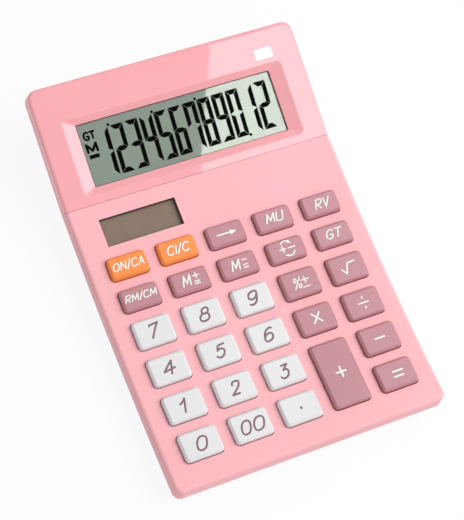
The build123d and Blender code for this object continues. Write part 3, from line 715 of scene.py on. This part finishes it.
class CALCULATOR_OT_case(bpy.types.Operator):
    """Gives the case halves and the panel their moulded finish, and sets the bare plate on it"""

    bl_idname = "calculator.case"
    bl_label = "Case and display panel"

    def execute(self, context):
        colours = context.scene.calculator_colours
        sizes = context.scene.calculator_sizes
        shell = surface(
            "case_pink", colours.case, 0.5, grain=2600, relief=0.012, drift=0.03,
            Specular_IOR_Level=0.35,
        )
        panel = surface(
            "panel_pink", colours.panel, 0.025, grain=500, relief=0.0005, drift=0.02, marks=0.01
        )
        plate = surface("badge_white", linear(240, 236, 236), 0.3, relief=0.004, drift=0.02)
        dress(shell, "upper_case", "lower_case", "battery_cover")
        dress(panel, "display_panel")
        badge = flat_plate(sizes.badge_width / MM, sizes.badge_height / MM)
        bmesh.ops.bevel(
            badge, geom=badge.verts[:], offset=BADGE_CORNER, segments=4, profile=0.5,
            affect="VERTICES", material=-1,
        )
        thicken(badge, BADGE_THICK)
        place = moved(place_at_window("display_panel"), *BADGE_PLACE)
        add_piece(placed_mesh(badge, "panel_badge", place), plate, "case")
        return {"FINISHED"}


def window_sheet():
    """Mesh of the clear window with its back lifted off the piece behind it."""
    bm = node_copy("display_window")
    plane = face_plane("display_window")
    level = plane.inverted()
    back = [vertex for vertex in bm.verts if (level @ vertex.co).z < -WINDOW_BACK * MM]
    bmesh.ops.translate(bm, vec=plane.col[2].xyz * WINDOW_LIFT * MM, verts=back)
    bmesh.ops.recalc_face_normals(bm, faces=bm.faces)
    return mesh_of(bm, "window_sheet")


def figure_bars(width, height, bar):
    """Outlines of the seven bars of a display figure, from its lower left corner."""
    gap = BAR_GAP
    half = height / 2
    deep = bar * BAR_DEPTH
    inner = height - deep
    top = [(gap, height), (width - gap, height), (width - bar - gap, inner), (bar + gap, inner)]
    left = [
        (0, half + gap), (0, height - gap), (bar, inner - gap * BAR_MITRE),
        (bar, half + deep / 2 + gap),
    ]
    middle = [
        (gap * 2, half), (bar, half + deep / 2), (width - bar, half + deep / 2),
        (width - gap * 2, half), (width - bar, half - deep / 2), (bar, half - deep / 2),
    ]
    return {
        "a": top,
        "b": [(width - x, y) for x, y in left],
        "c": [(width - x, height - y) for x, y in left],
        "d": [(x, height - y) for x, y in top],
        "e": [(x, height - y) for x, y in left],
        "f": left,
        "g": middle,
    }


def figure_row(sizes):
    """Flat faces of the lit bars, the points and the bar under the memory mark."""
    lengths = (sizes.figure_width, sizes.figure_height, sizes.bar_width, sizes.figure_pitch)
    wide, tall, bar, pitch = (length / MM for length in lengths)
    bars = figure_bars(wide, tall, bar)
    bm = bmesh.new()
    for number, numeral in enumerate(NUMERALS):
        start = ROW_START + number * pitch
        for name in LIT_BARS[numeral]:
            bm.faces.new([
                bm.verts.new((start + x + ROW_LEAN * y, ROW_FOOT + y, 0)) for x, y in bars[name]
            ])
    for x, y, across in POINTS:
        bmesh.ops.create_circle(
            bm, cap_ends=True, segments=12, radius=across / 2,
            matrix=Matrix.Translation((x, y, 0)),
        )
    bm.faces.new([bm.verts.new((x, y, 0)) for x, y in MARK_BAR])
    return bm


class CALCULATOR_OT_display(bpy.types.Operator):
    """Finishes the window and the display glass, and lights the figures"""

    bl_idname = "calculator.display"
    bl_label = "Display"

    def execute(self, context):
        colours = context.scene.calculator_colours
        clear = surface(
            "clear_window", (0.02, 0.02, 0.02), 0.05, relief=0.0, drift=0.02, marks=0.03,
            Specular_IOR_Level=0.0, Alpha=0.02,
        )
        glass = lined_glass(
            "display_glass", colours.display, rough=0.03, shade=0.94, pitch=0.42, start=0.0,
            width=0.1, Coat_Weight=1.0, Coat_Roughness=0.01, Coat_IOR=1.62, IOR=1.62,
            Specular_Tint=(0.9, 1.0, 0.75, 1.0),
        )
        ink = surface("display_ink", colours.figures, 0.6, relief=0.002, Specular_IOR_Level=0.0)
        # Dark rim round the window's edge: painted shadow of the gap between the window and the
        # glass
        rim = surface(
            "display_edge_shadow", linear(70, 66, 64), 0.6, relief=0.004, Specular_IOR_Level=0.2
        )
        dress(clear, "display_window")
        dress(glass, "lcd_panel")
        sheet = add_piece(window_sheet(), clear, "case")
        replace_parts(sheet, "display_window")

        wide, tall = face_frame("display_window")[1:]
        film = flat_plate(wide / MM - FILM_MARGIN, tall / MM - FILM_MARGIN)
        thicken(film, FILM_THICK)
        place = moved(place_at_window("lcd_panel"), 0, 0, FILM_LIFT)
        add_piece(placed_mesh(film, "display_film", place), glass, "case")

        # Ring of painted shadow, laid just round the edge of the window
        ring = plate_ring(*EDGE_SHADOW_SIZE)
        thicken(ring, EDGE_SHADOW_THICK)
        front = moved(place, 0, 0, FILM_THICK)
        edge = moved(front, *EDGE_SHADOW_SHIFT)
        add_piece(placed_mesh(ring, "display_edge_shadow", edge), rim, "case")

        figures = figure_row(context.scene.calculator_sizes)
        thicken(figures, FIGURE_THICK)
        row = front @ Matrix.Rotation(ROW_TURN, 4, "Z")
        add_piece(placed_mesh(figures, "display_figures", row), ink, "case")
        strokes = [stroke for mark in MARKS for stroke in pen_strokes(*mark, slant=0.0)]
        marks = pen_mesh("display_marks", strokes, row, FIGURE_THICK * MM)
        add_piece(marks, ink, "case")
        return {"FINISHED"}


class CALCULATOR_OT_solar(bpy.types.Operator):
    """Finishes the solar cell with its strips, and paints the shade on the walls of its opening
    with a dark lining
    """

    bl_idname = "calculator.solar"
    bl_label = "Solar cell"

    def execute(self, context):
        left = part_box("solar_cell")[0][0] / MM
        cell = lined_glass(
            "solar_glass", context.scene.calculator_colours.solar, rough=0.16, shade=0.9,
            pitch=STRIP_PITCH, start=left + STRIP_START, width=STRIP_GAP,
        )
        # Dark lining of the opening: painted shade on its walls
        wall_shade = surface(
            "solar_wall_shade", linear(64, 66, 58), 0.6, relief=0.004, drift=0.1, Specular_IOR_Level=0.2
        )
        dress(cell, "solar_cell")
        place, wide, tall = face_frame("solar_cell")
        # Ring of painted shade standing against the walls of the opening
        ring = plate_ring(wide / MM - WALL_SHADE_MARGIN, tall / MM - WALL_SHADE_MARGIN, WALL_SHADE_THICK)
        thicken(ring, WALL_SHADE_DEPTH)
        add_piece(placed_mesh(ring, "solar_wall_shade", place), wall_shade, "case")
        return {"FINISHED"}


def soft_key(key):
    """Copy of a key's mesh with the edges of its top and corners rounded off."""
    bm = node_copy(key)
    bmesh.ops.dissolve_limit(bm, angle_limit=FLAT_BEND, verts=bm.verts, edges=bm.edges)
    least, most = SOFT_BENDS
    bent = [
        edge for edge in bm.edges
        if len(edge.link_faces) == 2 and least < edge.calc_face_angle() < most and edge.is_convex
    ]
    bmesh.ops.bevel(
        bm, geom=bent, offset=SOFT_EDGE, segments=3, profile=0.5, affect="EDGES", material=-1,
        clamp_overlap=True,
    )
    bmesh.ops.recalc_face_normals(bm, faces=bm.faces)
    return mesh_of(bm, key_piece("cap", key))


class CALCULATOR_OT_keys(bpy.types.Operator):
    """Finishes the keys and prints a legend on each"""

    bl_idname = "calculator.keys"
    bl_label = "Keys and legends"

    def execute(self, context):
        colours = context.scene.calculator_colours
        relief = context.scene.calculator_sizes.print_relief
        plastics = (
            ("key_white", colours.white_keys, 0.03, DIGIT_KEYS),
            ("key_mauve", colours.mauve_keys, 0.05, FUNCTION_KEYS),
            ("key_orange", colours.orange_keys, 0.05, CLEAR_KEYS),
        )
        for slot, colour, drift, keys in plastics:
            plastic = surface(slot, colour, 0.34, grain=3000, relief=0.008, drift=drift)
            dress(plastic, *keys)
            for key in keys:
                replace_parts(add_piece(soft_key(key), plastic, key), key)

        dark = surface("print_mauve", colours.dark_print, 0.5, relief=0.003, drift=0.08)
        pale = surface("print_cream", colours.pale_print, 0.5, relief=0.003, drift=0.03)
        for key in ALL_KEYS:
            strokes = [stroke for word in WORDS.get(key, ()) for stroke in pen_strokes(*word)]
            strokes += [(pen, kind, points) for pen, kind, *points in SIGNS.get(key, ())]
            legend = pen_mesh(key_piece("legend", key), strokes, face_plane(key), relief)
            if key in DIGIT_KEYS:
                add_piece(legend, dark, key)
            else:
                add_piece(legend, pale, key)
        return {"FINISHED"}


class CALCULATOR_OT_underside(bpy.types.Operator):
    """Finishes the feet under the case, and the screws"""

    bl_idname = "calculator.underside"
    bl_label = "Feet and screws"

    def execute(self, context):
        rubber = surface(
            "foot_rubber", linear(92, 90, 92), 0.75, grain=1400, relief=0.03, drift=0.2
        )
        steel = surface(
            "screw_steel", (0.55, 0.55, 0.56), 0.32, grain=500, relief=0.004, drift=0.15, metal=1.0
        )
        dress(rubber, "rubber_feet")
        dress(steel, "case_screws", "cover_screw", "board_screws", "retainer_screws")
        return {"FINISHED"}


def cut_keypad(above):
    """Rubber keypad above or below the foot of its domes, closed where it is cut."""
    plane = face_plane("rubber_keypad")
    normal = plane.col[2].xyz
    bm = node_copy("rubber_keypad")
    bmesh.ops.bisect_plane(
        bm, geom=bm.verts[:] + bm.edges[:] + bm.faces[:], plane_no=normal,
        plane_co=plane @ Vector((0, 0, DOME_FOOT * MM)), clear_inner=above, clear_outer=not above,
    )
    rims = [edge for edge in bm.edges if edge.is_boundary]
    bmesh.ops.triangle_fill(bm, use_beauty=True, use_dissolve=False, edges=rims, normal=normal)
    bmesh.ops.recalc_face_normals(bm, faces=bm.faces)
    return bm


def add_domes(material):
    """Splits the keypad into its sheet and, for each key, the domes that give way under it."""
    sheet = mesh_of(cut_keypad(above=False), "keypad_sheet")
    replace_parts(add_piece(sheet, material, "case"), "rubber_keypad")
    for key in ALL_KEYS:
        low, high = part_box(key)
        bm = cut_keypad(above=True)
        strays = [
            vertex for vertex in bm.verts
            if not (low[0] < vertex.co.x < high[0] and low[1] < vertex.co.y < high[1])
        ]
        bmesh.ops.delete(bm, geom=strays, context="VERTS")
        dome = add_piece(mesh_of(bm, key_piece("dome", key)), material, None)
        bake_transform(dome)


class CALCULATOR_OT_inside(bpy.types.Operator):
    """Finishes the pieces inside the case, and splits the rubber keypad into its sheet and domes"""

    bl_idname = "calculator.inside"
    bl_label = "Inner pieces"

    def execute(self, context):
        for node, finish, colour, rough, texture in INNER_FINISHES:
            dress(surface(finish, colour, rough, **texture), node)
        rubber = surface(
            "keypad_rubber", (0.7, 0.7, 0.72), 0.7, grain=1200, relief=0.02, drift=0.1
        )
        dress(rubber, "rubber_keypad")
        add_domes(rubber)
        return {"FINISHED"}


# Studio


def add_seen_ray(tree):
    """Adds a node that is 1 for camera, mirror and see-through rays, and 0 for other rays."""
    path = add_node(tree, "ShaderNodeLightPath")
    mirror = add_math(tree, "MAXIMUM")
    seen = add_math(tree, "MAXIMUM")
    link(
        tree,
        (path, "Is Camera Ray", mirror, 0),
        (path, "Is Glossy Ray", mirror, 1),
        (mirror, "Value", seen, 0),
        (path, "Is Transmission Ray", seen, 1),
    )
    return seen


def studio_paper():
    """Material of the floor, which takes shadows and looks nearly white."""
    paper = bpy.data.materials.new("studio_paper")
    paper.use_nodes = True
    tree = paper.node_tree
    diffuse = tree.nodes["Principled BSDF"]
    diffuse.inputs["Base Color"].default_value = (PAPER_TONE, PAPER_TONE, PAPER_TONE, 1)
    diffuse.inputs["Roughness"].default_value = 0.9
    glow = add_node(tree, "ShaderNodeEmission", Strength=1.0)
    weight = add_math(tree, "MULTIPLY", PAPER_GLOW)
    blend = add_node(tree, "ShaderNodeMixShader")
    link(
        tree,
        (add_seen_ray(tree), "Value", weight, 0),
        (weight, "Value", blend, "Fac"),
        (diffuse, "BSDF", blend, 1),
        (glow, "Emission", blend, 2),
        (blend, "Shader", tree.nodes["Material Output"], "Surface"),
    )
    return paper


def even_light(fill):
    """World that lights the object evenly and is white where it is seen."""
    world = bpy.data.worlds.new("studio_light")
    world.use_nodes = True
    tree = world.node_tree
    even = tree.nodes["Background"]
    even.inputs["Color"].default_value = (1, 1, 1, 1)
    level = add_node(tree, "ShaderNodeMapRange", To_Min=fill, To_Max=1.0)
    link(
        tree,
        (add_seen_ray(tree), "Value", level, "Value"),
        (level, "Result", even, "Strength"),
    )
    return world


class CALCULATOR_OT_studio(bpy.types.Operator):
    """Sets the pale floor, the softbox, the even light and the camera"""

    bl_idname = "calculator.studio"
    bl_label = "Studio"

    def execute(self, context):
        scene = context.scene
        studio = scene.calculator_studio
        scene.view_settings.view_transform = "Standard"

        plate = flat_plate(FLOOR_SIDE / MM, FLOOR_SIDE / MM)
        ground = placed_mesh(plate, "studio_floor", Matrix.Identity(4))
        ground.materials.append(studio_paper())
        floor = bpy.data.objects.new("studio_floor", ground)
        scene.collection.objects.link(floor)
        scene.world = even_light(studio.fill)

        lamp = bpy.data.lights.new("softbox", "AREA")
        lamp.shape = "RECTANGLE"
        lamp.size, lamp.size_y = SOFTBOX_SIZE
        lamp.energy = studio.softbox
        softbox = bpy.data.objects.new("softbox", lamp)
        softbox.location = SOFTBOX_PLACE
        softbox.rotation_euler.z = math.radians(SOFTBOX_TURN)
        scene.collection.objects.link(softbox)

        lens = bpy.data.cameras.new("studio_camera")
        lens.lens = studio.lens
        lens.sensor_width = SENSOR_WIDTH
        camera = bpy.data.objects.new("studio_camera", lens)
        turn = Matrix(CAMERA_AXES).transposed().to_4x4()
        camera.matrix_world = Matrix.Translation(CAMERA_PLACE) @ turn
        scene.collection.objects.link(camera)
        scene.camera = camera
        return {"FINISHED"}


# Add-on


SETTINGS = {
    "calculator_colours": CalculatorColours,
    "calculator_sizes": CalculatorSizes,
    "calculator_studio": CalculatorStudio,
}
OPERATORS = (
    CALCULATOR_OT_case,
    CALCULATOR_OT_display,
    CALCULATOR_OT_solar,
    CALCULATOR_OT_keys,
    CALCULATOR_OT_underside,
    CALCULATOR_OT_inside,
    CALCULATOR_OT_studio,
)


class CALCULATOR_PT_sidebar(bpy.types.Panel):
    """Lists the calculator's settings and steps"""

    bl_idname = "CALCULATOR_PT_sidebar"
    bl_label = "Desk calculator"
    bl_space_type = "VIEW_3D"
    bl_region_type = "UI"
    bl_category = "Calculator"

    def draw(self, context):
        for settings in SETTINGS:
            group = getattr(context.scene, settings)
            box = self.layout.box()
            for name in group.__annotations__:
                box.prop(group, name)
        for operator in OPERATORS:
            self.layout.operator(operator.bl_idname)


CLASSES = (*SETTINGS.values(), *OPERATORS, CALCULATOR_PT_sidebar)


def register():
    """Registers the classes and hangs the settings on the scene."""
    for kind in CLASSES:
        bpy.utils.register_class(kind)
    for name, kind in SETTINGS.items():
        setattr(bpy.types.Scene, name, bpy.props.PointerProperty(type=kind))


def unregister():
    """Takes the settings and classes away again."""
    for name in SETTINGS:
        delattr(bpy.types.Scene, name)
    for kind in reversed(CLASSES):
        bpy.utils.unregister_class(kind)


def main():
    """Runs every step."""
    register()
    bpy.ops.calculator.case()
    bpy.ops.calculator.display()
    bpy.ops.calculator.solar()
    bpy.ops.calculator.keys()
    bpy.ops.calculator.underside()
    bpy.ops.calculator.inside()
    bpy.ops.calculator.studio()


if __name__ == "__main__":
    main()
